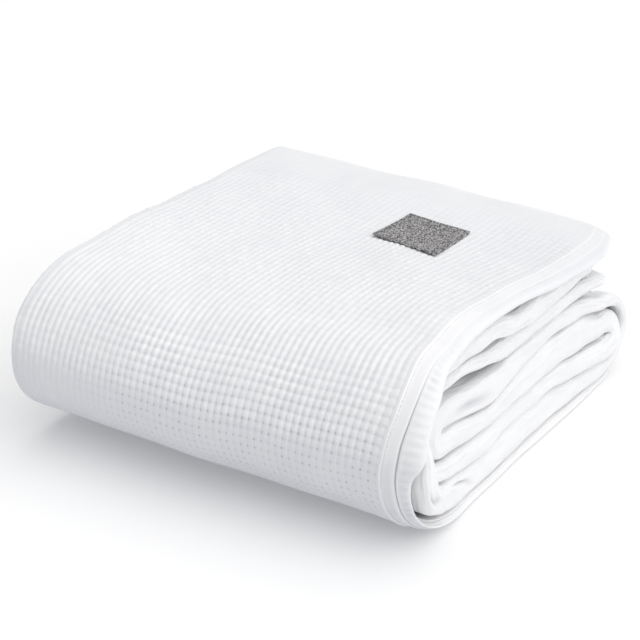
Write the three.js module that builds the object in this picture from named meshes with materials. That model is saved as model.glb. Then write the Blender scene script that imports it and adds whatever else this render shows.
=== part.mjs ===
// A waffle-weave coverlet, folded and lying on a surface, with a cloth label on its top.
// The cloth is pleated into three layers across its width, which makes a long strip.
// The strip is doubled, and then folded in three: its top comes forward, turns down round the
// front, runs back along the surface, loops up at the back and comes forward again inside.
// Millimetres, +Z up, the round front fold towards -Y and the open pleats towards +X.
import * as THREE from 'three';

// The cloth as it lies in each layer, the least air between layers, and its flat hem
const LAYER = 3;
const AIR = 1.4;
const HEM_BAND = 13;
const HEM_STEP = 1;

// Pleats on the left: where they end, where the last layer's hem lies, and how round they are
const LEFT_EDGE = -177;
const LEFT_HEM = -164;
const PLEAT_ROUNDNESS = 0.8;

// The layers are even on the left, and follow the tables of the right edge more and more from here
const UNEVEN_FROM = -80;
const UNEVEN_TO = 165;

// Depths of the bundle, y counted back from the tip of the front fold
const FRONT_CENTRE = 79;
const LOOP_CENTRE = 345;
const TURN_CENTRE = 82;
const TURN_STRETCH = 0.95;
const OUTER_END = { left: 372, right: 363 };
const INNER_END = { left: 366, right: 345 };
const END_CORNER = { from: 135, to: 178, depth: 22 };

// The front fold, a row for each face of the doubled strip: how far the face reaches from the
// fold's centre, how high its furthest point lies, and where it lands on the run below
const FRONT_FOLD = {
  left: {
    outer: { reach: 79.5, height: 72, landing: 123 },
    split: { reach: 56, height: 72, landing: 108 },
    nested: { reach: 55, height: 72, landing: 107 },
    inner: { reach: 33, height: 72, landing: 88 },
  },
  right: {
    outer: { reach: 68, height: 75, landing: 107 },
    split: { reach: 45, height: 75, landing: 98 },
    nested: { reach: 44, height: 75, landing: 97 },
    inner: { reach: 29, height: 75, landing: 86 },
  },
};

// The loop at the back, with a hollow between its two strands on the right
const BACK_LOOP = {
  left: {
    outer: { reach: 46, height: 44 },
    split: { reach: 24, height: 46 },
    nested: { reach: 23, height: 46 },
    inner: { reach: 3, height: 46 },
  },
  right: {
    outer: { reach: 53, height: 33 },
    split: { reach: 37, height: 42 },
    nested: { reach: 22, height: 45 },
    inner: { reach: 3, height: 48 },
  },
};

// Height of the top along the left edge, which the layers below share evenly
const LEFT_TOP = [
  { y: 79, top: 143.5 },
  { y: 130, top: 144.5 },
  { y: 200, top: 142 },
  { y: 270, top: 140 },
  { y: 335, top: 138.5 },
  { y: 373, top: 135 },
];

// Heights of the strip's faces along the right edge, a row for each rise and dip of the layers
const RIGHT_TOP = [
  { y: 79, outer: 150, split: 127, inner: 112 },
  { y: 110, outer: 155, split: 128, inner: 113 },
  { y: 140, outer: 155, split: 125, inner: 108 },
  { y: 170, outer: 151, split: 121, inner: 101.5 },
  { y: 210, outer: 147, split: 117.5, inner: 101 },
  { y: 250, outer: 141, split: 115.5, inner: 101 },
  { y: 300, outer: 136.5, split: 113.5, inner: 99.5 },
  { y: 350, outer: 137, split: 109, inner: 94 },
];
const RIGHT_MIDDLE = [
  { y: 75, outer: 104, split: 80, inner: 59 },
  { y: 100, outer: 105, split: 78, inner: 56.5 },
  { y: 130, outer: 101, split: 74, inner: 56 },
  { y: 165, outer: 98, split: 74, inner: 55 },
  { y: 205, outer: 98.5, split: 80, inner: 57 },
  { y: 260, outer: 98.5, split: 82, inner: 56 },
  { y: 305, outer: 96.5, split: 81, inner: 54 },
  { y: 345, outer: 88, split: 74, inner: 50.5 },
];
const RIGHT_BOTTOM = [
  { y: 79, outer: 0, split: 41, inner: 55 },
  { y: 110, outer: 0, split: 34, inner: 53.5 },
  { y: 150, outer: 0, split: 33, inner: 53 },
  { y: 190, outer: 0, split: 34, inner: 53 },
  { y: 230, outer: 0, split: 35, inner: 54 },
  { y: 290, outer: 0, split: 31, inner: 51 },
  { y: 345, outer: 0, split: 24, inner: 46 },
];

// The strip's stretches in order: how many steps each has, and where its hem and its pleat end
const STRETCHES = [
  { strand: 'outer', run: 'top', steps: 11, hem: 175, pleat: 171 },
  { strand: 'outer', run: 'front', steps: 9, hem: 170, pleat: 180 },
  { strand: 'outer', run: 'bottom', steps: 8, hem: 171, pleat: 172 },
  { strand: 'outer', run: 'loop', steps: 7, hem: 171, pleat: 170 },
  { strand: 'outer', run: 'middle', steps: 9, hem: 164, pleat: 171 },
  { strand: 'both', run: 'turn', steps: 6, hem: 163, pleat: 169 },
  { strand: 'inner', run: 'middle', steps: 9, hem: 164, pleat: 171 },
  { strand: 'inner', run: 'loop', steps: 7, hem: 163, pleat: 167 },
  { strand: 'inner', run: 'bottom', steps: 8, hem: 164, pleat: 172 },
  { strand: 'inner', run: 'front', steps: 9, hem: 165, pleat: 177 },
  { strand: 'inner', run: 'top', steps: 11, hem: 164, pleat: 172 },
];
const EDGE_WAVE = { size: 2, turns: 9 };

// Where the points of each layer lie, as shares of its width in the order that the cloth runs
const FIRST_LAYER_SHARES = [0.12, 0.22, 0.3, 0.39, 0.47, 0.6, 0.8, 1];
const SECOND_LAYER_SHARES = [0, 0.25, 0.5, 0.72, 0.88, 1];
const THIRD_LAYER_SHARES = [0, 0.12, 0.3, 0.6, 1];
const PLEAT_STEPS = 5;

// The label and its place on the top, y from the tip of the front fold
const LABEL = { width: 58, depth: 56, thickness: 1.2, x: 45.5, y: 258, clearance: 0.45, turn: -2 };
const LABEL_CELLS = 6;

const mix = (from, to, share) => from + (to - from) * share;
const ease = (share) => share * share * (3 - 2 * share);
const shareOf = (value, from, to) => THREE.MathUtils.clamp((value - from) / (to - from), 0, 1);
const rightShare = (x) => ease(shareOf(x, UNEVEN_FROM, UNEVEN_TO));
const mixSides = (sides, x) => mix(sides.left, sides.right, rightShare(x));

// A smooth curve through one column of a table whose rows run along y
function readTable(rows, column, y) {
  const last = rows.length - 1;
  const at = THREE.MathUtils.clamp(y, rows[0].y, rows[last].y);
  const start = Math.min(rows.findLastIndex((row) => row.y <= at), last - 1);
  const slope = (index) => {
    const before = rows[Math.max(index - 1, 0)];
    const after = rows[Math.min(index + 1, last)];
    return (after[column] - before[column]) / (after.y - before.y);
  };
  const from = rows[start];
  const to = rows[start + 1];
  const span = to.y - from.y;
  const rise = to[column] - from[column];
  const share = (at - from.y) / span;
  const bend = mix(slope(start) * span - rise, rise - slope(start + 1) * span, share);
  return mix(from[column], to[column], share) + share * (1 - share) * bend;
}

// Heights of the strip's faces on the left, where six even layers share the height of the top
function leftHeights(run, y) {
  const layer = readTable(LEFT_TOP, 'top', y) / 6;
  if (run === 'top') return { outer: 6 * layer, split: 5 * layer, inner: 4 * layer };
  if (run === 'middle') return { outer: 4 * layer - AIR, split: 3 * layer, inner: 2 * layer + AIR };
  return { outer: 0, split: layer, inner: 2 * layer - AIR };
}

const RIGHT_ROWS = { top: RIGHT_TOP, middle: RIGHT_MIDDLE, bottom: RIGHT_BOTTOM };

// Height of one face of a level run; the nested face lies under the split, on the inner strand
function faceHeight(run, face, y, x) {
  const column = face === 'nested' ? 'split' : face;
  const height = mix(leftHeights(run, y)[column], readTable(RIGHT_ROWS[run], column, y), rightShare(x));
  if (face !== 'nested') return height;
  return run === 'bottom' ? height + AIR : height - AIR;
}

// The free ends on top run nearly straight across and round off at the right corner
function topEnd(face, x) {
  const end = face === 'outer' || face === 'split' ? OUTER_END : INNER_END;
  const corner = shareOf(x, END_CORNER.from, END_CORNER.to) ** 2 * END_CORNER.depth;
  return mixSides(end, x) - corner;
}

function frontLanding(face, x) {
  return mix(FRONT_FOLD.left[face].landing, FRONT_FOLD.right[face].landing, rightShare(x));
}

// Depth and height of one face on a level run, at a share of its length
function levelPoint(run, face, share, x) {
  const spans = {
    top: () => mix(topEnd(face, x), FRONT_CENTRE, share),
    bottom: () => mix(frontLanding(face, x), LOOP_CENTRE, share),
    middle: () => mix(LOOP_CENTRE, TURN_CENTRE, share),
  };
  const y = spans[run]();
  return new THREE.Vector2(y, faceHeight(run, face, y, x));
}

// Depth and height of one face on a round fold, two quarter ellipses that join the level runs
function roundPoint(run, face, share, x) {
  const front = run === 'front';
  const fold = front ? FRONT_FOLD : BACK_LOOP;
  const side = rightShare(x);
  const height = mix(fold.left[face].height, fold.right[face].height, side);
  const reach = mix(fold.left[face].reach, fold.right[face].reach, side);
  const centre = front ? FRONT_CENTRE : LOOP_CENTRE;
  const landing = front ? frontLanding(face, x) : LOOP_CENTRE;
  const rise = Math.cos(Math.PI * share);
  const out = Math.sin(Math.PI * share);
  if (front && rise >= 0) {
    return new THREE.Vector2(centre - reach * out, mix(height, faceHeight('top', face, centre, x), rise));
  }
  if (front) {
    const below = faceHeight('bottom', face, landing, x);
    return new THREE.Vector2(landing - (reach + landing - centre) * out, mix(height, below, -rise));
  }
  const end = faceHeight(rise >= 0 ? 'bottom' : 'middle', face, centre, x);
  return new THREE.Vector2(centre + reach * out, mix(height, end, Math.abs(rise)));
}

// Point in the strip's section at n from its open face towards its doubling, and its thickness
function stripPoint(station, x, n) {
  const { run, strand, share } = station;
  if (run === 'turn') {
    const level = (face) => faceHeight('middle', face, TURN_CENTRE, x);
    const thick = mix(level('outer') - level('split'), level('nested') - level('inner'), share);
    const radius = thick + AIR / 2 - n;
    const y = TURN_CENTRE - TURN_STRETCH * radius * Math.sin(Math.PI * share);
    const z = level('split') - AIR / 2 + radius * Math.cos(Math.PI * share);
    return { y, z, thick };
  }
  const place = run === 'front' || run === 'loop' ? roundPoint : levelPoint;
  const open = place(run, strand === 'outer' ? 'outer' : 'inner', share, x);
  const doubled = place(run, strand === 'outer' ? 'split' : 'nested', share, x);
  const thick = open.distanceTo(doubled);
  const point = open.lerp(doubled, n / thick);
  return { y: point.x, z: point.y, thick };
}

// Stations along the whole strip, from its outer end on top to its inner end below that
function stripStations() {
  const total = STRETCHES.reduce((sum, stretch) => sum + stretch.steps, 0);
  const stations = [];
  STRETCHES.forEach((stretch, index) => {
    const next = STRETCHES[index + 1] ?? stretch;
    const steps = stretch === next ? stretch.steps + 1 : stretch.steps;
    for (let step = 0; step < steps; step += 1) {
      const along = step / stretch.steps;
      const wave = EDGE_WAVE.size * Math.sin(EDGE_WAVE.turns * 2 * Math.PI * stations.length / total);
      stations.push({
        run: stretch.run,
        strand: stretch.strand,
        share: stretch.strand === 'inner' ? 1 - along : along,
        hem: mix(stretch.hem, next.hem, ease(along)) + wave / 2,
        pleat: mix(stretch.pleat, next.pleat, ease(along)) - wave,
      });
    }
  });
  return stations;
}

// Middle line of the three layers across the strip as x and n, from the hem on the right
function pleatedLine(station) {
  const layerStep = LAYER + AIR;
  const first = () => LAYER / 2;
  const third = (x) => stripPoint(station, x, 0).thick - LAYER / 2;
  const second = (x) => {
    const across = ease(shareOf(x, LEFT_EDGE, station.pleat));
    return mix(third(x) - layerStep, first() + layerStep, across);
  };
  const leftRadius = (second(LEFT_EDGE) - first()) / 2;
  const rightRadius = (third(station.pleat) - second(station.pleat)) / 2;
  const leftX = LEFT_EDGE + LAYER / 2 + PLEAT_ROUNDNESS * leftRadius;
  const rightX = station.pleat - LAYER / 2 - PLEAT_ROUNDNESS * rightRadius;

  const line = [];
  const addLayer = (level, from, to, shares) => {
    for (const share of shares) {
      const x = mix(from, to, share);
      line.push({ x, n: level(x), drop: 0 });
    }
  };
  const addPleat = (x, radius, from, outwards) => {
    for (let step = 1; step < PLEAT_STEPS; step += 1) {
      const angle = Math.PI * step / PLEAT_STEPS;
      const bulge = PLEAT_ROUNDNESS * radius * Math.sin(angle);
      line.push({ x: x + outwards * bulge, n: from + radius * (1 - Math.cos(angle)), drop: 0 });
    }
  };
  const bandEnd = station.hem - HEM_BAND;
  line.push({ x: station.hem, n: first(), drop: HEM_STEP });
  line.push({ x: bandEnd, n: first(), drop: HEM_STEP });
  line.push({ x: bandEnd - HEM_STEP, n: first(), drop: 0 });
  addLayer(first, station.hem, leftX, FIRST_LAYER_SHARES);
  addPleat(leftX, leftRadius, first(), -1);
  addLayer(second, leftX, rightX, SECOND_LAYER_SHARES);
  addPleat(rightX, rightRadius, second(rightX), 1);
  addLayer(third, rightX, LEFT_HEM, THIRD_LAYER_SHARES);
  return line;
}

// Closed outline of the three layers at one station: along one face of the cloth, back on the other
function pleatedOutline(station) {
  const line = pleatedLine(station);
  const faceSide = [];
  const backSide = [];
  line.forEach((here, index) => {
    const before = line[Math.max(index - 1, 0)];
    const after = line[Math.min(index + 1, line.length - 1)];
    const along = new THREE.Vector2(after.x - before.x, after.n - before.n).normalize();
    const offset = (distance) => {
      const x = here.x - along.y * distance;
      const { y, z } = stripPoint(station, x, here.n + along.x * distance);
      return new THREE.Vector3(x, y, z);
    };
    faceSide.push(offset(LAYER / 2 - here.drop));
    backSide.unshift(offset(-LAYER / 2));
  });
  return [...faceSide, ...backSide];
}

// One closed skin over all the stations, with the two free ends of the strip closed. The inner
// strand runs the other way, so its squares are cut along the other diagonal to lie parallel
function clothGeometry() {
  const stations = stripStations();
  const rings = stations.map(pleatedOutline);
  const round = rings[0].length;
  const faces = [];
  const next = (index) => (index + 1) % round;
  const addQuad = (a, b, c, d) => faces.push(a, b, c, a, c, d);
  for (let ring = 0; ring < rings.length - 1; ring += 1) {
    const here = ring * round;
    const there = here + round;
    for (let index = 0; index < round; index += 1) {
      const corners = [here + index, here + next(index), there + next(index), there + index];
      if (stations[ring].strand === 'inner') corners.push(corners.shift());
      addQuad(...corners);
    }
  }
  const lastRing = (rings.length - 1) * round;
  for (let index = 0; index < round / 2 - 1; index += 1) {
    const across = round - 1 - index;
    addQuad(index, across, across - 1, index + 1);
    addQuad(lastRing + index, lastRing + index + 1, lastRing + across - 1, lastRing + across);
  }
  const geometry = new THREE.BufferGeometry().setFromPoints(rings.flat());
  geometry.setIndex(faces);
  geometry.computeVertexNormals();
  return geometry;
}

// The label: a thin square of cloth that follows the top a hair above it
function labelGeometry() {
  const { width, depth, thickness, clearance, turn } = LABEL;
  const geometry = new THREE.BoxGeometry(width, depth, thickness, LABEL_CELLS, LABEL_CELLS, 1);
  geometry.rotateZ(THREE.MathUtils.degToRad(turn));
  geometry.translate(LABEL.x, LABEL.y, thickness / 2 + clearance);
  const place = geometry.attributes.position;
  for (let index = 0; index < place.count; index += 1) {
    const cloth = faceHeight('top', 'outer', place.getY(index), place.getX(index));
    place.setZ(index, place.getZ(index) + cloth);
  }
  geometry.computeVertexNormals();
  return geometry;
}

function namedMesh(name, geometry, color, roughness) {
  const material = new THREE.MeshStandardMaterial({ color, roughness, metalness: 0 });
  const mesh = new THREE.Mesh(geometry, material);
  mesh.name = name;
  return mesh;
}

const cloth = namedMesh('coverlet_cloth', clothGeometry(), 0xf6f6f7, 0.9);
const label = namedMesh('label_patch', labelGeometry(), 0x5c5c5e, 0.95);

// The origin lies under the middle of the bundle, on the surface that carries it
const coverlet = new THREE.Group();
coverlet.add(cloth, label);
const box = new THREE.Box3().setFromObject(cloth);
const middle = box.getCenter(new THREE.Vector3());
coverlet.position.set(-middle.x, -middle.y, -box.min.z);

export default coverlet;
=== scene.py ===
"""A folded waffle-weave coverlet with a cloth label, as an add-on that is run as a script.

The cloth is laid out flat, pleated into three layers across its width, doubled along its length
and folded in three. Tables and cloth sizes are in millimetres, objects are in metres.
"""

import math

import bmesh
import bpy
import numpy as np
from bpy.props import FloatProperty, FloatVectorProperty, IntProperty, PointerProperty
from mathutils import Matrix, Vector


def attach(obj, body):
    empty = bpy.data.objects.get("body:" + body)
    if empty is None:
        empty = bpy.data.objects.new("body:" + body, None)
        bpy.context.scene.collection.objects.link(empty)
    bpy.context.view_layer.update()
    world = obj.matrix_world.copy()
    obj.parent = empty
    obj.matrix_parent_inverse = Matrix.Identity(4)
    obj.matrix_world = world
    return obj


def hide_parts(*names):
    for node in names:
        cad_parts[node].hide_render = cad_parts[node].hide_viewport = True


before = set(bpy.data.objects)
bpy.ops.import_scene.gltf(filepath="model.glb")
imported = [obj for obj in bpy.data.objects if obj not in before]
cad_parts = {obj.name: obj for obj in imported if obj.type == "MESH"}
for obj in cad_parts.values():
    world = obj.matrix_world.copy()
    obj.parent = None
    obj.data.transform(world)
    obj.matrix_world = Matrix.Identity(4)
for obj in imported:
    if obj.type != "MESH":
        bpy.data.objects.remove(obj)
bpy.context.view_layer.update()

bl_info = {
    "name": "Folded Waffle Coverlet",
    "version": (1, 0, 0),
    "blender": (4, 5, 0),
    "location": "3D View > Sidebar > Coverlet",
    "description": "Lays a folded waffle-weave coverlet, its hem stitching and its label",
    "category": "Object",
}

MM = 0.001


def table(columns, *rows):
    """Rows of values under named columns."""
    return [dict(zip(columns, row)) for row in rows]


def by_face(columns, *rows):
    """A table whose rows are found by the face of the strip that they are for."""
    return {row["face"]: row for row in table(columns, *rows)}


# The cloth as it lies in each layer, the least air between layers, and the roundness of pleats
LAYER = 3.0
AIR = 1.4
PLEAT_ROUNDNESS = 0.8
PLEAT_REACH = 8.0
PLEAT_SQUARENESS = {"radius": (4.0, 13.0), "power": (0.6, 0.48)}
LEFT_TURN = {"roundness": 1.25, "reach": 11.0, "squareness": 0.85}
LEFT_EDGE = -176.2
LEFT_HEM = -163.0

# Middle of the bundle in the tables' coordinates, which count y back from the front fold's tip
BUNDLE_MIDDLE = (1.762, 198.670)

# The layers are even on the left, and follow the tables of the right edge more and more between these
UNEVEN = (-80.0, 165.0)

# Depths of the folds and of the strip's two free ends, which are cut back at the right corner
FRONT_CENTRE = 79.0
LOOP_CENTRE = 345.0
TURN_CENTRE = 82.0
TURN_STRETCH = 0.95
FREE_END = by_face(
    ("face", "left", "right", "corner"),
    ("outer", 372, 365, 20),
    ("split", 366, 341, 18),
    ("nested", 364, 354, 12),
    ("inner", 362, 346, 12),
)
END_CORNER = (132, 178)

# The front fold and the loop at the back, a row for each face of the doubled strip, with each measure
# on the left and on the right
FRONT_FOLD = by_face(
    ("face", "reach", "height", "landing"),
    ("outer", (79.5, 68), (72, 75), (127, 109)),
    ("split", (56, 37), (72, 75), (108, 98)),
    ("nested", (55, 36), (72, 75), (107, 97)),
    ("inner", (33, 23.5), (72, 75), (88, 86)),
)
BACK_LOOP = by_face(
    ("face", "reach", "height"),
    ("outer", (46, 50), (44, 38)),
    ("split", (24, 41), (46, 42)),
    ("nested", (23, 38), (46, 43)),
    ("inner", (3, 20.5), (46, 39)),
)

# Heights of the strip's faces, a row for each rise and dip. On the left six even layers share one
# height, and each face has a number of them below it, and some air
LEFT_TOP = table(
    ("y", "top"),
    (79, 143.5),
    (130, 144.5),
    (200, 142),
    (270, 140),
    (335, 138.5),
    (373, 135),
)
LEFT_LAYERS = 6
LEFT_FACES = {
    "top": {"outer": (6, 0), "split": (5, 0), "inner": (4, 0)},
    "middle": {"outer": (4, -AIR), "split": (3, 0), "inner": (2, AIR)},
    "bottom": {"outer": (0, 0), "split": (1, 0), "inner": (2, -AIR)},
}
RIGHT_ROWS = {
    "top": table(
        ("y", "outer", "split", "inner"),
        (79, 150, 127, 116.5),
        (110, 155, 128, 116.5),
        (140, 155, 125, 110.5),
        (170, 151, 121, 102.5),
        (210, 147, 117.5, 101),
        (250, 141, 115.5, 101),
        (300, 136.5, 113.5, 101),
        (350, 137, 104, 95.5),
    ),
    "middle": table(
        ("y", "outer", "split", "inner"),
        (75, 102, 80, 59),
        (100, 102.5, 78, 56.5),
        (130, 100, 74, 56),
        (165, 98, 74, 55),
        (205, 98.5, 80, 56),
        (260, 98.5, 81, 53),
        (305, 92.5, 79, 47.5),
        (345, 80, 69.5, 41.5),
    ),
    "bottom": table(
        ("y", "outer", "split", "inner"),
        (79, 0, 41, 55),
        (110, 0, 34, 54),
        (150, 0, 33, 53.8),
        (190, 0, 34, 53.8),
        (230, 0, 34.5, 53.8),
        (290, 0, 28.5, 48),
        (345, 0, 22.5, 40.5),
    ),
}

# A hollow above the inner strand, which opens towards the loop on the right edge
LOOP_HOLLOW = {"y": (295, 345), "depth": 3.0}

# The strip's stretches in order, and the step of their mesh rows
STRETCHES = table(
    ("strand", "run", "row"),
    ("outer", "top", 12),
    ("outer", "front", 12),
    ("outer", "bottom", 12),
    ("outer", "loop", 12),
    ("outer", "middle", 12),
    ("both", "turn", 5),
    ("inner", "middle", 12),
    ("inner", "loop", 4),
    ("inner", "bottom", 12),
    ("inner", "front", 8),
    ("inner", "top", 12),
)

# How the cloth ends on the right, counted in stretches: the edge of the hem's flat band, how far a
# rolled lip stands out beyond it and how high it is, and the end of the pleat
RIGHT_EDGE = table(
    ("at", "hem", "lip", "roll", "pleat"),
    (0.0, 172, 9, 9, 168),
    (0.15, 171.5, 9, 9, 172),
    (0.4, 171, 8.5, 9, 175),
    (0.65, 169, 7.5, 8.5, 175.5),
    (0.8, 168, 9, 10.5, 174),
    (1.0, 168.5, 9, 13, 173),
    (1.1, 169.5, 11, 16, 173),
    (1.2, 172, 13.5, 19, 173.5),
    (1.3, 172.5, 14.5, 20, 175),
    (1.38, 170.5, 17.5, 20, 179),
    (1.44, 169, 18, 19, 183),
    (1.5, 168, 11.5, 15, 185.5),
    (1.56, 168.5, 9.5, 12, 187),
    (1.6, 169, 9, 11, 187),
    (1.7, 170, 8, 9, 185.5),
    (1.8, 171, 7, 8, 182),
    (2.0, 170, 4, 7, 174),
    (2.2, 170.5, 3, 7, 171),
    (2.5, 171, 2.5, 7, 171.5),
    (2.9, 171, 2.5, 6, 173.5),
    (3.15, 169, 2.5, 5, 174.5),
    (3.4, 158, 2, 3.5, 172.5),
    (3.7, 146, 2, 3, 171.5),
    (4.0, 141, 2, 3, 171),
    (4.7, 141, 2, 3, 171),
    (5.0, 141, 2, 3, 170),
    (6.0, 141, 2, 3, 171),
    (6.5, 141, 2, 3, 173),
    (6.8, 141, 2, 3, 173.5),
    (7.0, 141, 2, 3, 170),
    (7.4, 141, 2, 3, 170.5),
    (7.7, 141, 2, 3, 174.5),
    (8.0, 141, 2, 3, 177),
    (8.3, 141, 2, 3, 173),
    (9.0, 141, 2, 3, 172),
    (10.0, 141, 2, 3, 172),
    (10.8, 141, 2, 3, 173),
    (11.0, 141, 2, 3, 175),
)

# How far short of the hem the lip starts to roll up and is full, and how far beyond the lip the layer
# below comes up and is level
ROLL = {"starts": 42.0, "full": 4.0}
BEYOND_LIP = {"starts": 1.0, "full": 10.0}

# The hem is pulled in at the strip's free end, and both edges are a little uneven
END_PULL = {"length": 32, "depth": 9}
EDGE_WAVE = {"size": 0.8, "length": 230}
EDGE_UNEVEN = {"size": 1.1, "length": 85}

# Places on the right edge where two layers part, and how far
LENSES = table(
    ("strand", "run", "share", "reach", "second", "third"),
    ("outer", "top", 0.58, 0.13, 6.5, 0),
    ("outer", "top", 0.724, 0.126, 0, 4.5),
    ("inner", "top", 0.724, 0.126, 0, 1.5),
    ("outer", "front", 0.83, 0.16, 3.8, 0),
)

# Creases along the right pleats' faces, counted in stretches and as a share of the way round the
# pleat, and swells of a negative depth where two pleats press together so that no gap shows
CREASES = table(
    ("at", "reach", "share", "slant", "width", "depth"),
    (0.48, 0.16, 0.97, 0.0, 4.5, -1.3),
    (10.5, 0.16, 0.97, 0.0, 4.5, -1.3),
    (0.30, 0.14, 0.45, 0.9, 3.2, 1.8),
    (0.72, 0.12, 0.55, -0.8, 3.5, 1.7),
    (1.65, 0.11, 0.46, 1.1, 1.2, 2.2),
    (2.015, 0.09, 0.59, -1.5, 1.1, 2.8),
    (2.45, 0.20, 0.97, 0.0, 4.5, -1.2),
    (2.62, 0.16, 0.50, 0.7, 3.5, 1.7),
    (4.08, 0.26, 0.04, 0.0, 5.0, -2.2),
    (4.45, 0.18, 0.97, 0.0, 4.5, -1.2),
    (4.55, 0.15, 0.50, -0.9, 3.4, 1.8),
    (4.86, 0.12, 0.51, 0.0, 1.3, 2.2),
    (6.32, 0.22, 0.03, 0.0, 4.5, -1.1),
    (6.40, 0.16, 0.55, 0.8, 3.2, 1.7),
    (6.55, 0.18, 0.97, 0.0, 4.5, -1.2),
    (6.97, 0.12, 0.80, 0.4, 1.8, 2.2),
    (8.62, 0.20, 0.97, 0.0, 4.5, -1.2),
    (8.66, 0.22, 0.03, 0.0, 4.5, -1.1),
    (8.35, 0.15, 0.45, -0.7, 3.2, 1.8),
    (10.25, 0.12, 0.50, 0.8, 3.0, 1.7),
    (10.8, 0.12, 0.45, -0.9, 3.0, 1.7),
)
PLEAT_UNEVEN = {"size": 0.8, "length": 46, "across": 1.7}

# Narrow creases get painted shade at the bottom: the widths where the painted shade starts and is full,
# and how much narrower than the crease it is
DARK_CREASE = {"widths": (1.9, 1.0), "darkness": 0.85, "narrowing": 2}

# Widths of the cloth across its pleats, in the order that it runs from the hem on the right
CELL = 6.0
ROW_CELL = 7.2
HEM_BAND = 13.0
WEAVE_START = 16.0
FIRST_LAYER = 345.0
LEFT_PLEAT = 25.0
SECOND_LAYER = 328.0
RIGHT_PLEAT = 26.0
THIRD_LAYER = 318.0
ACROSS = np.cumsum([FIRST_LAYER, LEFT_PLEAT, SECOND_LAYER, RIGHT_PLEAT, THIRD_LAYER])
CLOTH_WIDTH = float(ACROSS[-1])

# How deep the weave's columns and rows are along the cloth, and how strong the painted shade is along
# their grooves, in the pits where they cross, and over the far top and the foot: pulled into ribs over
# the top, open round the front, flat at the foot
WEAVE_ZONES = table(
    ("v", "columns", "rows", "pits", "painted_shade"),
    (0, 0.08, 0.08, 0.02, 0.20),
    (60, 0.22, 0.24, 0.06, 0.24),
    (120, 0.46, 0.60, 0.14, 0.15),
    (190, 0.56, 0.66, 0.16, 0.08),
    (250, 0.60, 0.58, 0.12, 0.00),
    (290, 0.76, 0.36, 0.08, 0.00),
    (325, 1.00, 0.22, 0.10, 0.00),
    (348, 1.00, 0.85, 0.20, 0.00),
    (375, 1.00, 1.00, 0.40, 0.02),
    (391, 0.95, 0.95, 0.70, 0.18),
    (400, 0.62, 0.58, 0.95, 0.46),
    (409, 0.32, 0.27, 1.00, 0.56),
    (430, 0.24, 0.20, 1.00, 0.72),
    (450, 0.20, 0.15, 0.85, 1.00),
    (500, 0.35, 0.30, 0.40, 0.90),
    (600, 0.80, 0.60, 0.40, 0.10),
)

# On the right the weave stays open lower down the front and further back on the top, and on the left
# it is pulled into ribs round the front and lies flat sooner
OPEN_LOWER = {"u": (345, 20), "v": (335, 400), "lag": (-7, -2)}
OPEN_BACK = {"u": (200, 40), "back_v": (10, 60), "front_v": (200, 60), "lead": 45}
RIBS_ONLY = {"u": (215, 300), "v": (210, 270), "rows": 0.22, "pits": 0.06}

# How deep the grooves of the columns and rows are where both are full, how sharp they are, and how
# uneven; and how much more single cells stand out on the top than round the front
WEAVE_DEPTH = {"column": 0.5, "row": 0.35, "crossing": 0.15}
WEAVE_SHARPNESS = {"column": 0.9, "row": 1.2}
GROOVE_UNEVEN = {"mean": 0.9, "size": 0.2, "length": 70}
CHANCE_CELLS = (360, 180)
TOP_CHANCE = 2.4

# Lines of the mesh over a cut edge, over a hem and over the crease at its edge, counted in from it
EDGE_LINES = [0, 0.3, 0.9, 1.8]
HEM_LINES = [0.5, 1.4, 4, 7.5, 11.4, 12.2, 13.0, 13.8, 14.6]
CREASE_LINES = [-1.1, -0.8, -0.5, -0.2, 0.1]

# The roundness of a cut edge and the width of the lip, the lines of the mesh over the lip and over the
# wide parts of the second and third layers, and the cells that are lined before and past a pleat
EDGE_RADIUS = 1.8
LIP_SPAN = 10.0
LIP_STEPS = 9
WIDE_STEPS = {"second": 12, "third": 11}
WIDE_GAP = 4 * CELL
WEAVE_BEFORE = 3
WEAVE_PAST = 5

# Where things come in, each from its start to where it is full: places along the cloth, distances
# from the hem's edge or from the cloth's ends, widths of the lip and strengths of the weave
ROUND_FRONT = (230, 330)
CREASE_ALONG = (285, 380)
PUCKERS_ALONG = (260, 330)
LIP_SHADE_ALONG = (380, 280)
BAND_END = (HEM_BAND - 0.6, HEM_BAND + 1.6)
BAND_EDGE = (-0.6, 0.6)
LIP_START = (-0.4, 0.7)
LIP_SHADE = (0, 4)
PUCKERS_START = (0.8, 3.0)
WEAVE_ACROSS = (HEM_BAND + 1, HEM_BAND + 5)
WEAVE_ALONG = (1, 5)
FULL_LIP = (2, 7)
OPEN_STRENGTH = (0.4, 0.9)

# The hem's band, ridge and crease, the puckers of the lip, and the painted shade on the hem, on the lip
# and in the weave on the back, which is held off the ridge and the crease's edges as painted highlight
# lines
HEM_ON_TOP = 0.2
RIDGE = {"width": 0.75, "ends_before": 40}
EDGE_CREASE = {"u": -0.5, "width": 0.3, "on_top": 0.1}
TOP_CREASE = {"v": 140, "reach": 60, "strength": 0.45}
PUCKERS = {"sharpness": 0.8, "mean": 0.6, "size": 0.5, "length": 28, "across": 3, "on_top": 0.3}
BRIGHT_LINES = table(
    ("u", "width", "strength"),
    (HEM_BAND, 0.9, 1.0),
    (0.9, 0.7, 1.0),
    (-1.9, 0.8, 0.8),
)
BRIGHTNESS = 0.8
HEM_PAINTED_SHADE = 1.1
LIP_PAINTED_SHADE = 0.2
BACK_WEAVE = 0.15

# Smooth noise, and the soft unevenness of the bundle along each axis, less where it lies on the floor
NOISE = {"waves": 5, "lengths": (0.6, 1.6), "gain": 1.4}
OFF_FLOOR = (0, 40)
WANDER = table(
    ("axis", "everywhere", "off_floor", "length", "seed"),
    (0, 0.3, 0.2, 90, 11),
    (1, 0.0, 1.0, 120, 12),
    (2, 0.0, 0.8, 110, 13),
)

# Stretches are measured at this place across the bundle, in this many steps
MEASURED = {"x": 40.0, "steps": 129}

# How near numbers of the grid count as the same
SLACK = 0.01


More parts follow.
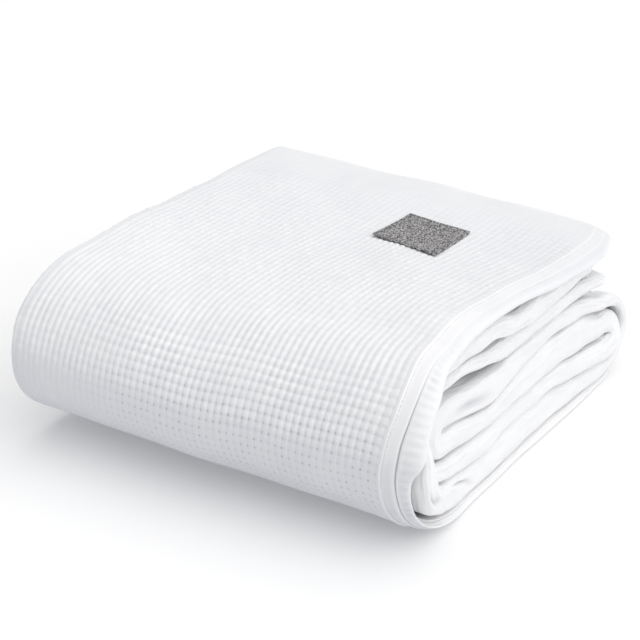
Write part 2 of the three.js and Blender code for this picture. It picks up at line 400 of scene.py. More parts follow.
def length_setting(name, description, default):
    """A setting that is a length."""
    return FloatProperty(name=name, description=description, default=default, unit="LENGTH")


def colour_setting(name, description, default):
    """A setting that is a colour."""
    return FloatVectorProperty(
        name=name, description=description, default=default, size=3, min=0, max=1, subtype="COLOR"
    )


class ClothSettings(bpy.types.PropertyGroup):
    """Sizes and colours of the waffle cloth."""

    groove: length_setting(
        "Groove depth", "Depth of the weave's grooves below the tops of its cells", 0.0023
    )
    chance: length_setting("Cell chance", "How far single cells stand out or lie back", 0.0003)
    hem_step: length_setting("Hem step", "How far the flat hem lies below the tops of the cells", 0.0009)
    hem_ridge: length_setting(
        "Hem ridge", "Height of the sewn ridge between the weave and the hem", 0.0014
    )
    hem_edge: length_setting(
        "Hem edge", "How far the rolled lip lies below the edge of the flat hem", 0.0009
    )
    pucker: length_setting("Pucker", "Depth of the puckers across the rolled lip", 0.0022)
    unevenness: length_setting(
        "Unevenness", "How far the soft layers wander from their even lie", 0.0014
    )
    colour: colour_setting(
        "Cloth colour", "Colour of the cloth on the tops of its cells", (0.86, 0.862, 0.868)
    )
    # Darker colour for the random mottle and tint, and for the painted shade in the grooves, over the
    # far top, at the foot and on the lip
    mottle_and_shade_colour: colour_setting(
        "Groove colour", "Colour of the cloth down in its grooves", (0.674, 0.684, 0.722)
    )
    # Lighter colour of the hem's flat band, also used as a painted highlight on the open cells round the
    # front
    hem_and_highlight_colour: colour_setting(
        "Hem colour", "Colour of the hem's flat band and of the open cells round the front",
        (0.9, 0.9, 0.904),
    )
    # Colour of the painted shade in the crease at the hem's edge, in the pleats' narrow creases and in
    # the weave's pits
    crease_and_pit_shade_colour: colour_setting(
        "Crease colour", "Colour of the cloth down in the crease at the hem's edge",
        (0.42, 0.42, 0.45),
    )


class StitchSettings(bpy.types.PropertyGroup):
    """Sizes of the stitching."""

    pitch: length_setting("Stitch pitch", "From one stitch to the next", 0.0034)
    length: length_setting("Stitch length", "Length of one stitch", 0.0026)
    width: length_setting("Thread width", "Width of the sewing thread", 0.0007)


class LabelSettings(bpy.types.PropertyGroup):
    """Sizes and colours of the label."""

    width: length_setting("Width", "Label's size across the bundle", 0.061)
    depth: length_setting("Depth", "Label's size along the bundle", 0.065)
    thickness: length_setting("Thickness", "Thickness of its cloth", 0.0011)
    cells: IntProperty(
        name="Cells", description="Squares of its mesh along each side", default=56
    )
    colour: colour_setting("Label colour", "Colour of its dark yarn", (0.06, 0.058, 0.059))
    fleck_colour: colour_setting("Fleck colour", "Colour of its light yarn", (0.50, 0.485, 0.487))


class StageSettings(bpy.types.PropertyGroup):
    """Floor, lights and camera."""

    camera_place: FloatVectorProperty(
        name="Camera place", description="Where the camera stands",
        default=(0.71531, -1.12218, 0.74484), size=3, subtype="TRANSLATION",
    )
    camera_turn: FloatProperty(
        name="Camera turn", description="Turn of the camera about the vertical",
        default=math.radians(33.075), subtype="ANGLE",
    )
    camera_tilt: FloatProperty(
        name="Camera tilt", description="How far the camera looks down",
        default=math.radians(26.673), subtype="ANGLE",
    )
    lens: FloatProperty(
        name="Lens", description="Focal length on a 36 mm sensor", default=103.14, unit="CAMERA"
    )
    sky: FloatProperty(name="Sky", description="Strength of the even light", default=0.42)
    key: FloatProperty(name="Key", description="Strength of the high soft light", default=2.01)
    side: FloatProperty(name="Side", description="Strength of the light from the right", default=0.54)
    floor_glow: FloatProperty(
        name="Floor glow", description="Light that comes up through the floor", default=0.15
    )
    floor_colour: colour_setting("Floor colour", "Colour of the pale floor", (0.8, 0.8, 0.8))


def mix(start, end, share):
    return start + (end - start) * share


def ease(share):
    return share * share * (3 - 2 * share)


def share_of(value, start, end):
    return np.clip((value - start) / (end - start), 0, 1)


def climb(value, start, end):
    """A soft climb from 0 at the start to 1 at the end."""
    return ease(share_of(value, start, end))


def hump(off, reach):
    """A soft hump, from 1 in its middle to 0 at its reach."""
    return ease(np.clip(1 - np.abs(off) / reach, 0, 1))


def bell(off, width):
    """A bell curve, from 1 in its middle."""
    return np.exp(-((off / width) ** 2))


def right_share(x):
    """How far the layers follow the tables of the right edge, from 0 to 1."""
    return climb(x, *UNEVEN)


def soft_noise(a, b, wave, seed):
    """Smooth noise over two directions, mostly from -1 to 1, as a few crossing waves."""
    dice = np.random.default_rng(seed)
    total = np.zeros_like(np.asarray(a, dtype=float))
    for _ in range(NOISE["waves"]):
        heading = dice.uniform(0, 2 * math.pi)
        length = wave * dice.uniform(*NOISE["lengths"])
        phase = dice.uniform(0, 2 * math.pi)
        run = a * math.cos(heading) + b * math.sin(heading)
        total += np.sin(2 * math.pi * run / length + phase)
    return total / NOISE["waves"] * NOISE["gain"]


def read_table(rows, column, y, key="y"):
    """A smooth curve through one column of a table whose rows run along y or another key."""
    places = np.array([row[key] for row in rows], dtype=float)
    values = np.array([row[column] for row in rows], dtype=float)
    last = len(rows) - 1
    before = np.maximum(np.arange(last + 1) - 1, 0)
    after = np.minimum(np.arange(last + 1) + 1, last)
    slopes = (values[after] - values[before]) / (places[after] - places[before])
    at = np.clip(y, places[0], places[-1])
    start = np.clip(np.searchsorted(places, at, side="right") - 1, 0, last - 1)
    span = places[start + 1] - places[start]
    rise = values[start + 1] - values[start]
    share = (at - places[start]) / span
    bend = mix(slopes[start] * span - rise, rise - slopes[start + 1] * span, share)
    return mix(values[start], values[start + 1], share) + share * (1 - share) * bend


def left_height(run, column, y):
    """Height of one face of a level run on the left, where the layers are even."""
    layers, air = LEFT_FACES[run][column]
    return read_table(LEFT_TOP, "top", y) / LEFT_LAYERS * layers + air


def face_height(run, face, y, x):
    """Height of one face of a level run; the nested face is the inner strand's, at the split."""
    column = "split" if face == "nested" else face
    right = read_table(RIGHT_ROWS[run], column, y)
    height = mix(left_height(run, column, y), right, right_share(x))
    if face != "nested":
        return height
    if run == "bottom":
        return height + AIR
    hollow = climb(y, *LOOP_HOLLOW["y"]) * LOOP_HOLLOW["depth"]
    return height - AIR - hollow * right_share(x) * (run == "middle")


def fold_value(fold, face, name, x):
    """One measure of a fold, between its left and its right."""
    return mix(*fold[face][name], right_share(x))


def level_point(run, face, share, x):
    """Depth and height of one face on a level run, at a share of its length."""
    if run == "top":
        end = FREE_END[face]
        corner = share_of(x, *END_CORNER) ** 2 * end["corner"]
        free = mix(end["left"], end["right"], right_share(x)) - corner
        y = mix(free, FRONT_CENTRE, share)
    elif run == "bottom":
        y = mix(fold_value(FRONT_FOLD, face, "landing", x), LOOP_CENTRE, share)
    else:
        y = mix(LOOP_CENTRE, TURN_CENTRE, share) + 0 * x
    return y, face_height(run, face, y, x)


def round_point(run, face, share, x):
    """Depth and height of one face on a round fold, two quarter ellipses that join the runs."""
    rise = np.cos(np.pi * share)
    out = np.sin(np.pi * share)
    upper = rise >= 0
    fold = FRONT_FOLD if run == "front" else BACK_LOOP
    reach, height = (fold_value(fold, face, name, x) for name in ("reach", "height"))
    if run == "front":
        landing = fold_value(fold, face, "landing", x)
        above = face_height("top", face, FRONT_CENTRE + 0 * x, x)
        below = face_height("bottom", face, landing, x)
        y = np.where(
            upper,
            FRONT_CENTRE - reach * out,
            landing - (reach + landing - FRONT_CENTRE) * out,
        )
        return y, mix(height, np.where(upper, above, below), np.abs(rise))
    lower, higher = (face_height(level, face, LOOP_CENTRE + 0 * x, x) for level in ("bottom", "middle"))
    end = np.where(upper, lower, higher)
    return LOOP_CENTRE + reach * out, mix(height, end, np.abs(rise))


def strip_point(stretch, share, x, n):
    """Depth and height in the strip at n from its open face, and the strip's thickness."""
    run = stretch["run"]
    if run == "turn":
        centre = TURN_CENTRE + 0 * x
        level = {
            face: face_height("middle", face, centre, x)
            for face in ("outer", "split", "nested", "inner")
        }
        thick = mix(level["outer"] - level["split"], level["nested"] - level["inner"], share)
        radius = thick + AIR / 2 - n
        y = TURN_CENTRE - TURN_STRETCH * radius * np.sin(np.pi * share)
        z = level["split"] - AIR / 2 + radius * np.cos(np.pi * share)
        return y, z, thick
    place = round_point if run in ("front", "loop") else level_point
    outer = stretch["strand"] == "outer"
    open_y, open_z = place(run, "outer" if outer else "inner", share, x)
    doubled_y, doubled_z = place(run, "split" if outer else "nested", share, x)
    thick = np.hypot(doubled_y - open_y, doubled_z - open_z)
    depth = n / thick
    return mix(open_y, doubled_y, depth), mix(open_z, doubled_z, depth), thick


def lens(stretch, share, layer):
    """How far a layer draws back at this station to leave a gap on the right edge."""
    total = 0 * share
    for row in LENSES:
        if (row["strand"], row["run"]) == (stretch["strand"], stretch["run"]):
            total = total + row[layer] * hump(share - row["share"], row["reach"])
    return total


def square_turn(angle, power):
    """A turn that is flatter than a half circle: how far out it is, and its share of the way down."""
    out = np.abs(np.sin(angle)) ** power
    down = np.sign(np.cos(angle)) * np.abs(np.cos(angle)) ** power
    return out, (1 - down) / 2


def middle_line(stretch, share, edge, u):
    """Middle line of the three layers at u across the cloth: x, n and the lip's extra thickness."""
    layer_step = LAYER + AIR
    first = LAYER / 2
    hem, lip, roll, pleat = edge
    drawn_second, drawn_third = lens(stretch, share, "second"), lens(stretch, share, "third")

    def rolled(x):
        return (roll - LAYER) * climb(x, hem - ROLL["starts"], hem - ROLL["full"])

    def third(x):
        return strip_point(stretch, share, x, 0 * x)[2] - LAYER / 2 - drawn_third * right_share(x)

    def second(x):
        end = hem + lip
        beyond = climb(x, end + BEYOND_LIP["starts"], end + BEYOND_LIP["full"])
        clear = mix(first + layer_step + rolled(x), first, beyond) + drawn_second * right_share(x)
        return mix(third(x) - layer_step, clear, climb(x, LEFT_EDGE, pleat))

    left_radius = (second(LEFT_EDGE + 0 * u) - first) / 2
    right_radius = (third(pleat) - second(pleat)) / 2
    left_reach = np.minimum(LEFT_TURN["roundness"] * left_radius, LEFT_TURN["reach"])
    right_reach = np.minimum(PLEAT_ROUNDNESS * right_radius, PLEAT_REACH)
    left_x = LEFT_EDGE + LAYER / 2 + left_reach
    right_x = pleat - LAYER / 2 - right_reach

    def part(index):
        start = ACROSS[index - 1] if index else 0
        return share_of(u, start, ACROSS[index])

    first_x = mix(hem, left_x, part(0)) - lip * np.minimum(u, 0) / LIP_SPAN
    second_x = mix(left_x, right_x, part(2))
    third_x = mix(right_x, LEFT_HEM, part(4))
    thick = share_of(right_radius, *PLEAT_SQUARENESS["radius"])
    power = mix(*PLEAT_SQUARENESS["power"], thick)
    turn_out, turn_down = square_turn(np.pi * part(1), LEFT_TURN["squareness"])
    back_out, back_down = square_turn(np.pi * part(3), power)
    which = [u <= end for end in ACROSS[:-1]] + [u > ACROSS[-2]]
    extra = np.where(which[0], rolled(first_x), 0)
    x = np.select(which, [
        first_x,
        left_x - left_reach * turn_out,
        second_x,
        right_x + right_reach * back_out,
        third_x,
    ])
    n = np.select(which, [
        first + extra / 2,
        first + 2 * left_radius * turn_down,
        second(second_x),
        mix(second(right_x), third(right_x), back_down),
        third(third_x),
    ])
    return x, n, extra


def stretch_lengths():
    """Even steps along a stretch, and for each stretch how far along the cloth they lie."""
    found = []
    steps = np.linspace(0, 1, MEASURED["steps"])
    x = np.full_like(steps, MEASURED["x"])
    for stretch in STRETCHES:
        share = 1 - steps if stretch["strand"] == "inner" else steps
        thick = strip_point(stretch, share, x, 0 * x)[2]
        depth = 0 if stretch["strand"] == "outer" else thick / 2
        y, z, _ = strip_point(stretch, share, x, depth + 0 * x)
        found.append(np.concatenate([[0], np.cumsum(np.hypot(np.diff(y), np.diff(z)))]))
    return steps, found


STEPS, RUNS = stretch_lengths()
STARTS = np.concatenate([[0], np.cumsum([run[-1] for run in RUNS])])
CLOTH_LENGTH = float(STARTS[-1])


def edges_at(index, v):
    """How the cloth ends on the right along one stretch, and the shares of the places in it."""
    along = np.interp(v - STARTS[index], RUNS[index], STEPS)
    edge = [
        read_table(RIGHT_EDGE, name, index + along, "at")
        for name in ("hem", "lip", "roll", "pleat")
    ]
    wave = EDGE_WAVE["size"] * np.sin(2 * np.pi * v / EDGE_WAVE["length"])
    pull = END_PULL["depth"] * (1 - share_of(v, 0, END_PULL["length"])) ** 2
    edge[0] = edge[0] + wave / 2 - pull
    uneven = EDGE_UNEVEN["size"] * soft_noise(v, 0 * v, EDGE_UNEVEN["length"], 14)
    edge[3] = edge[3] - wave - pull / 2 + uneven
    return 1 - along if STRETCHES[index]["strand"] == "inner" else along, edge


def fold_cloth(u, v, side, drop):
    """Places of the cloth's points in the tables' coordinates.

    u and v lie across and along the flat cloth. A side of 1 is the cloth's face, -1 its back and
    between them its middle, and drop is how far a point lies below that side.
    """
    places = np.zeros((len(u), 3))
    for index, stretch in enumerate(STRETCHES):
        inside = (v >= STARTS[index]) & (v <= STARTS[index + 1])
        if not inside.any():
            continue
        share, edge = edges_at(index, v[inside])
        here = u[inside]
        nudge = 0.2
        x, n, extra = middle_line(stretch, share, edge, here)
        x_before, n_before, _ = middle_line(stretch, share, edge, here - nudge)
        x_after, n_after, _ = middle_line(stretch, share, edge, here + nudge)
        along_x, along_n = x_after - x_before, n_after - n_before
        size = np.maximum(np.hypot(along_x, along_n), 1e-9)
        lift = side[inside] * ((LAYER + extra) / 2 - drop[inside])
        x = x - along_n / size * lift
        n = n + along_x / size * lift
        y, z, _ = strip_point(stretch, share, x, n)
        places[inside] = np.column_stack([x, y, z])
    return places


def wander(places, size):
    """Soft unevenness of the whole bundle: layers that lie on each other move together."""
    off_floor = climb(places[:, 2], *OFF_FLOOR)
    moved = places.copy()
    for row in WANDER:
        first, second = np.delete(places, row["axis"], axis=1).T
        reach = size * (row["everywhere"] + row["off_floor"] * off_floor)
        moved[:, row["axis"]] += reach * soft_noise(first, second, row["length"], row["seed"])
    return moved


def to_metres(places):
    return (places - np.array([*BUNDLE_MIDDLE, 0])) * MM


def edge_thickness(distance):
    """The cloth thins to nothing over a round edge."""
    left = 1 - np.clip(np.asarray(distance) / EDGE_RADIUS, 0, 1)
    return np.sqrt(1 - left * left)


def cloth_columns():
    """Lines of the mesh across the cloth, on its face from hem to hem and back on its other side.

    Each line has its place, its side and its share of the thickness.
    """
    lip = -LIP_SPAN * np.cos(np.linspace(0, np.pi / 2, LIP_STEPS))
    lip = np.concatenate([lip[:-1], CREASE_LINES])
    weave = np.arange(WEAVE_START, ACROSS[1] + WEAVE_PAST * CELL, CELL)
    wide = np.linspace(weave[-1] + WIDE_GAP, ACROSS[2] - WIDE_GAP, WIDE_STEPS["second"])
    turn = np.arange(ACROSS[2] - WEAVE_BEFORE * CELL, ACROSS[3] + WEAVE_PAST * CELL, CELL)
    far_hem = CLOTH_WIDTH - HEM_LINES[-1]
    back = np.linspace(turn[-1] + WIDE_GAP, far_hem - 2 * CELL, WIDE_STEPS["third"])
    hem = np.array(HEM_LINES, dtype=float)
    far = CLOTH_WIDTH - np.array(EDGE_LINES + HEM_LINES[2:], dtype=float)[::-1]
    across = np.concatenate([lip, hem, weave, wide, turn, back, far])
    thickness = edge_thickness(CLOTH_WIDTH - across)
    thickness *= np.sqrt(1 - (np.minimum(across, 0) / LIP_SPAN) ** 2)
    place = np.concatenate([across, across[-2::-1]])
    side = np.concatenate([np.ones(len(across)), -np.ones(len(across) - 1)])
    return place, side, np.concatenate([thickness, thickness[-2::-1]])


def cloth_rows(start, end):
    """Lines of the mesh along the cloth between two places, finer in the tight turns."""
    rows = [start]
    for index, stretch in enumerate(STRETCHES):
        first, last = max(start, STARTS[index]), min(end, STARTS[index + 1])
        if last - first < 1:
            continue
        count = max(2, round((last - first) / stretch["row"]))
        rows.extend(np.linspace(first, last, count + 1)[1:])
    return np.array(rows)


def place_along(v):
    """Where places along the cloth lie, counted in stretches."""
    knots = np.concatenate([start + run for start, run in zip(STARTS, RUNS)])
    counts = np.concatenate([index + STEPS for index in range(len(RUNS))])
    return np.interp(v, knots, counts)


def full_lip(v):
    """Where the lip stands out far enough to be rolled, from 0 to 1."""
    return climb(read_table(RIGHT_EDGE, "lip", place_along(v), "at"), *FULL_LIP)


def hem_share(v):
    """The hem lies flat on the top and stands out round the front."""
    return mix(HEM_ON_TOP, 1, climb(v, *ROUND_FRONT))


def hem_crease(u, v):
    """The narrow crease between the hem's edge and the lip, from 0 to 1; it sinks the cloth and carries
    painted shade.
    """
    fading = mix(EDGE_CREASE["on_top"], 1, climb(v, *CREASE_ALONG))
    fading = fading + TOP_CREASE["strength"] * hump(v - TOP_CREASE["v"], TOP_CREASE["reach"])
    return bell(u - EDGE_CREASE["u"], EDGE_CREASE["width"]) * full_lip(v) * fading


def hem_shape(u, v, settings):
    """Drop of the face over the hem: a flat band, its ridge, and the puckered lip beyond it."""
    distance = np.minimum(u, CLOTH_WIDTH - u)
    standing = hem_share(v)
    band = (1 - climb(distance, *BAND_END)) * standing
    ridge = bell(distance - HEM_BAND, RIDGE["width"]) * (v < STARTS[2] - RIDGE["ends_before"])
    lip = climb(-distance, *LIP_START) * full_lip(v) * standing
    soft = soft_noise(u * PUCKERS["across"], v, PUCKERS["length"], 22)
    soft = np.clip(PUCKERS["mean"] + PUCKERS["size"] * soft, 0, 1)
    soft = soft * climb(-distance, *PUCKERS_START)
    soft = soft * mix(PUCKERS["on_top"], 1, climb(v, *PUCKERS_ALONG))
    pucker = groove_line(v, ROW_CELL, PUCKERS["sharpness"]) * soft * lip
    raised = settings.hem_ridge * ridge * standing
    sunk = settings.hem_edge * (lip + hem_crease(u, v)) + settings.pucker * pucker
    return (settings.hem_step * band - raised + sunk) / MM


def hem_bright(u):
    """Where the hem's ridge and the edges of its crease are kept out of the painted shade as painted
    highlights, from 0 to 1.
    """
    lines = [row["strength"] * bell(u - row["u"], row["width"]) for row in BRIGHT_LINES]
    return np.clip(sum(lines), 0, 1)


def groove_line(place, cell, sharpness):
    """Grooves one cell apart, from 0 on the tops to 1."""
    return 1 - np.abs(np.sin(np.pi * (place - WEAVE_START) / cell)) ** sharpness


def weave_zone(column, u, v):
    """How strong one part of the weave is at a place on the cloth, from 0 to 1."""
    lag = mix(*OPEN_LOWER["lag"], climb(u, *OPEN_LOWER["u"])) * climb(v, *OPEN_LOWER["v"])
    lead = OPEN_BACK["lead"] * climb(u, *OPEN_BACK["u"])
    lead = lead * climb(v, *OPEN_BACK["back_v"]) * climb(v, *OPEN_BACK["front_v"])
    v = v - lag
    if column != "painted_shade":
        v = v + lead
    strength = np.clip(read_table(WEAVE_ZONES, column, v, "v"), 0, 1)
    left = climb(u, *RIBS_ONLY["u"]) * climb(v, *RIBS_ONLY["v"])
    return strength * mix(1, RIBS_ONLY.get(column, 1), left)


def waffle(u, v):
    """Depth of the weave's grooves from 0 to 1: deepest where a column and a row cross."""
    column = groove_line(u, CELL, WEAVE_SHARPNESS["column"]) * weave_zone("columns", u, v)
    row = groove_line(v, ROW_CELL, WEAVE_SHARPNESS["row"]) * weave_zone("rows", u, v)
    crossing = WEAVE_DEPTH["crossing"] * column * row
    return WEAVE_DEPTH["column"] * column + WEAVE_DEPTH["row"] * row + crossing


def pleat_share(u):
    """Places across the cloth as a share of the way round the right pleat."""
    return (u - ACROSS[2]) / RIGHT_PLEAT


def pleat_face(u):
    """Where the right pleats' faces lie across the cloth, from 0 to 1, with half a pleat to fade."""
    share = pleat_share(u)
    return climb(share, -0.5, 0) * climb(share, 1.5, 1)


def crease_drop(u, v):
    """Drop and painted shade of the right pleats' faces: listed creases, shaded along their narrow
    bottoms, and a soft unevenness.
    """
    at = place_along(v)
    share = pleat_share(u)
    uneven = soft_noise(PLEAT_UNEVEN["across"] * u, v, PLEAT_UNEVEN["length"], 15)
    drop = PLEAT_UNEVEN["size"] * uneven
    dark = 0 * u
    for row in CREASES:
        off = at - row["at"]
        fading = hump(off, row["reach"])
        across = (share - row["share"] - row["slant"] * off) * RIGHT_PLEAT / row["width"]
        drop = drop + row["depth"] * fading * np.exp(-(across ** 2))
        narrow = share_of(row["width"], *DARK_CREASE["widths"])
        line = np.exp(-DARK_CREASE["narrowing"] * across ** 2)
        dark = dark + DARK_CREASE["darkness"] * narrow * fading * line
    return drop * pleat_face(u), dark * pleat_face(u)


def cell_chance(u, v):
    """How far each cell of the weave stands out or lies back, fading to 0 at its grooves."""
    dice = np.random.default_rng(23).uniform(-1, 1, CHANCE_CELLS)
    across, along = (u - WEAVE_START) / CELL, (v - WEAVE_START) / ROW_CELL
    row, column = np.floor(along).astype(int), np.floor(across).astype(int)
    chance = dice[row % CHANCE_CELLS[0], column % CHANCE_CELLS[1]]
    pillow = np.abs(np.sin(np.pi * across) * np.sin(np.pi * along))
    lying = mix(TOP_CHANCE, 1, climb(v, *ROUND_FRONT))
    return chance * pillow * lying * weave_zone("columns", u, v)


def painted_highlight_cells(u, v):
    """Where the cells stand open round the front and get a painted highlight, from 0 to 1."""
    return climb(weave_zone("columns", u, v) * weave_zone("rows", u, v), *OPEN_STRENGTH)


def patch_share(patch, u, v, side):
    """The weave's relief in a patch of fine mesh, from 0 at the patch's border."""
    inside = np.where(side == patch["side"], 1.0, 0.0)
    inside *= climb(u, patch["fine_u"], patch["fine_u"] + CELL)
    inside *= climb(u, patch["to_u"], patch["to_u"] - CELL)
    inside *= climb(v, patch["from_v"], patch["from_v"] + CELL)
    inside *= climb(v, patch["to_v"], patch["to_v"] - CELL)
    return inside * patch["relief"]


def refine(bm, patch, place, side, rows):
    """Cuts the squares of one patch finer, while the grid still lies in its own numbers."""
    ours = side == patch["side"]
    lines = np.flatnonzero((rows >= patch["from_v"]) & (rows <= patch["to_v"]))
    margin = Vector((SLACK, SLACK, 0))

    def cut(from_u, along, cuts):
        columns = np.flatnonzero(ours & (place >= from_u - SLACK) & (place <= patch["to_u"]))
        low = Vector((columns[0], lines[0], 0)) - margin
        high = Vector((columns[-1], lines[-1], 0)) + margin

        def chosen(edge):
            first, second = (vert.co for vert in edge.verts)
            if (abs(first.x - second.x) < SLACK) != along:
                return False
            return all(low.x <= co.x <= high.x and low.y <= co.y <= high.y for co in (first, second))

        edges = [edge for edge in bm.edges if chosen(edge)]
        bmesh.ops.subdivide_edges(bm, edges=edges, cuts=cuts)

    cut(patch["from_u"], True, patch["row_cuts"])
    if patch["column_cuts"]:
        cut(patch["fine_u"], False, patch["column_cuts"])


def store(mesh, name, values):
    """Keeps a number or a place for each point of a mesh, for its material."""
    values = np.asarray(values, dtype=np.float32)
    kind, key = ("FLOAT", "value") if values.ndim == 1 else ("FLOAT_VECTOR", "vector")
    mesh.attributes.new(name, kind, "POINT").data.foreach_set(key, values.ravel())


def put(name, data):
    """Puts a new object in the scene."""
    piece = bpy.data.objects.new(name, data)
    bpy.context.scene.collection.objects.link(piece)
    return piece


def put_mesh(name, bm):
    """Puts a smooth mesh in the scene."""
    mesh = bpy.data.meshes.new(name)
    for face in bm.faces:
        face.smooth = True
    bm.to_mesh(mesh)
    bm.free()
    return put(name, mesh)


def cut_grid(name, place, side, rows, patches, seam_row):
    """The flat grid of a length of cloth in its own numbers, cut finer in patches, sharp at its seam."""
    across, along = len(place) - 1, len(rows) - 1
    bm = bmesh.new()
    bmesh.ops.create_grid(bm, x_segments=across, y_segments=along, size=0.5)
    for vert in bm.verts:
        vert.co.x = round((vert.co.x + 0.5) * across)
        vert.co.y = round((vert.co.y + 0.5) * along)
    for edge in bm.edges:
        if all(vert.co.y == seam_row for vert in edge.verts):
            edge.smooth = False
    for patch in patches:
        refine(bm, patch, place, side, rows)
    mesh = bpy.data.meshes.new(name)
    bm.to_mesh(mesh)
    bm.free()
    return mesh


def weld(mesh):
    """Joins the points that lie on each other along thin edges, and smooths the faces."""
    bm = bmesh.new()
    bm.from_mesh(mesh)
    bmesh.ops.remove_doubles(bm, verts=bm.verts, dist=1e-6)
    bmesh.ops.recalc_face_normals(bm, faces=bm.faces)
    for face in bm.faces:
        face.smooth = True
    bm.to_mesh(mesh)
    bm.free()


def lay_cloth(name, rows, row_thickness, patches, seam_row, settings):
    """One length of the cloth: a flat grid, cut finer in patches, then raised and folded."""
    place, side, thickness = cloth_columns()
    mesh = cut_grid(name, place, side, rows, patches, seam_row)
    grid = np.zeros(len(mesh.vertices) * 3)
    mesh.vertices.foreach_get("co", grid)
    i, j = grid.reshape(-1, 3)[:, :2].T
    columns, lines = np.arange(len(place)), np.arange(len(rows))
    u, v = np.interp(i, columns, place), np.interp(j, lines, rows)
    thin = np.minimum(np.interp(i, columns, thickness), np.interp(j, lines, row_thickness))
    on_face = i <= columns[-1] / 2
    on_front = on_face | (u < 0)
    facing = np.where(on_face, 1.0, -1.0)
    relief = np.max([patch_share(patch, u, v, facing) for patch in patches], axis=0)
    in_weave = climb(np.minimum(u, CLOTH_WIDTH - u), *WEAVE_ACROSS)
    in_weave *= climb(np.minimum(v, CLOTH_LENGTH - v), *WEAVE_ALONG)

    uneven = soft_noise(u, v, GROOVE_UNEVEN["length"], 21)
    drop = waffle(u, v) * (GROOVE_UNEVEN["mean"] + GROOVE_UNEVEN["size"] * uneven)
    drop = settings.groove * drop - settings.chance * cell_chance(u, v)
    drop *= relief * in_weave / MM
    pleat_drop, pleat_crease_shade = crease_drop(u, v)
    drop += np.where(on_front, hem_shape(u, v, settings), pleat_drop)
    places = wander(fold_cloth(u, v, facing * thin, drop), settings.unevenness / MM)
    mesh.vertices.foreach_set("co", to_metres(places).astype(np.float32).ravel())

    store(mesh, "weave_place", np.column_stack([u - WEAVE_START, v - WEAVE_START, 0 * u]) * MM)
    store(mesh, "plain", 1 - relief)
    shown = in_weave * np.where(on_face, 1, BACK_WEAVE)
    for zone in ("columns", "rows", "pits"):
        store(mesh, zone, shown * weave_zone(zone, u, v))
    # Painted shade over the far top and at the foot, a little more on the hem, held off the hem's ridge
    # and the crease's edges
    painted_shade = np.where(on_face, mix(HEM_PAINTED_SHADE, 1, in_weave), 0) * (1 - BRIGHTNESS * hem_bright(u))
    # Painted shade on the lip over the top and the upper front
    lip = LIP_PAINTED_SHADE * climb(-u, *LIP_SHADE) * climb(v, *LIP_SHADE_ALONG)
    store(mesh, "painted_shade", painted_shade * weave_zone("painted_shade", u, v) + lip)
    store(mesh, "streaks", np.where(on_face, 0, pleat_face(u)))
    # Lighter hem band, and a painted highlight on the open cells round the front
    cell_highlight = in_weave * np.where(on_face, painted_highlight_cells(u, v), 0)
    store(mesh, "band", cell_highlight + (1 - in_weave) * climb(u, *BAND_EDGE))
    # Painted shade in the hem's crease and in the pleats' narrow creases
    store(mesh, "crease", np.where(on_front, hem_crease(u, v), pleat_crease_shade))
    weld(mesh)
    return put(name, mesh)


class Nodes:
    """Short way to add the nodes of one material."""

    def __init__(self, name, inputs):
        self.material = bpy.data.materials.new(name)
        self.material.use_nodes = True
        self.tree = self.material.node_tree
        self.shader = self.fill(self.tree.nodes["Principled BSDF"], inputs)

    def fill(self, node, inputs):
        """Links or sets the inputs of a node."""
        for key, value in inputs.items():
            if isinstance(value, bpy.types.NodeSocket):
                self.tree.links.new(value, node.inputs[key])
            else:
                node.inputs[key].default_value = value
        return node

    def add(self, kind, inputs, **values):
        node = self.tree.nodes.new(kind)
        for key, value in values.items():
            setattr(node, key, value)
        return self.fill(node, inputs)

    def attribute(self, name, output="Fac"):
        return self.add("ShaderNodeAttribute", {}, attribute_name=name).outputs[output]

    def math(self, operation, first, second):
        return self.add("ShaderNodeMath", {0: first, 1: second}, operation=operation).outputs[0]

    def plus(self, first, second):
        return self.math("ADD", first, second)

    def times(self, first, second):
        return self.math("MULTIPLY", first, second)

    def vector(self, operation, *inputs):
        inputs = dict(enumerate(inputs))
        return self.add("ShaderNodeVectorMath", inputs, operation=operation).outputs[0]

    def blend(self, share, first, second):
        inputs = {0: share, 6: first, 7: second}
        return self.add("ShaderNodeMix", inputs, data_type="RGBA").outputs[2]

    def noise(self, vector, scale, detail):
        inputs = {"Vector": vector, "Scale": scale, "Detail": detail}
        return self.add("ShaderNodeTexNoise", inputs).outputs["Fac"]

    def bands(self, vector, direction, pitch):
        """Even bands across a direction, from 0 to 1, a pitch apart."""
        inputs = {"Vector": vector, "Scale": 2 * math.pi / (20 * pitch)}
        return self.add("ShaderNodeTexWave", inputs, bands_direction=direction).outputs["Fac"]

    def chance(self, vector, width, length):
        """A chance number from 0 to 1 for each cell of a size."""
        cell = self.vector("FLOOR", self.vector("DIVIDE", vector, (width, length, 1.0)))
        return self.add("ShaderNodeTexWhiteNoise", {"Vector": cell}).outputs["Value"]

    def bump(self, height, strength, distance, **inputs):
        inputs.update(Height=height, Strength=strength, Distance=distance)
        return self.add("ShaderNodeBump", inputs).outputs[0]

    def finish(self, colour, bump):
        self.fill(self.shader, {"Base Color": colour, "Normal": bump})
        return self.material


def opaque(colour):
    return (*colour, 1.0)


# Shares of the painted shade along the cloth's groove lines and in its pits, and of its random mottle
# and tint; how narrow its painted lines and pits are, how much the painted shade differs from pit to
# pit at random, and how far the pleats' wrinkles are drawn out along the cloth
SHADES = {"lines": 0.28, "mottle": 0.3, "tint": 0.2, "pits": 0.8}
NARROWNESS = {"columns": 4.0, "rows": 3.0, "pits": 7.0}
OPEN_PIT = {"least": 0.2, "chance": 1.1}
STREAKS_DRAWN = (1.0, 0.14, 1.0)

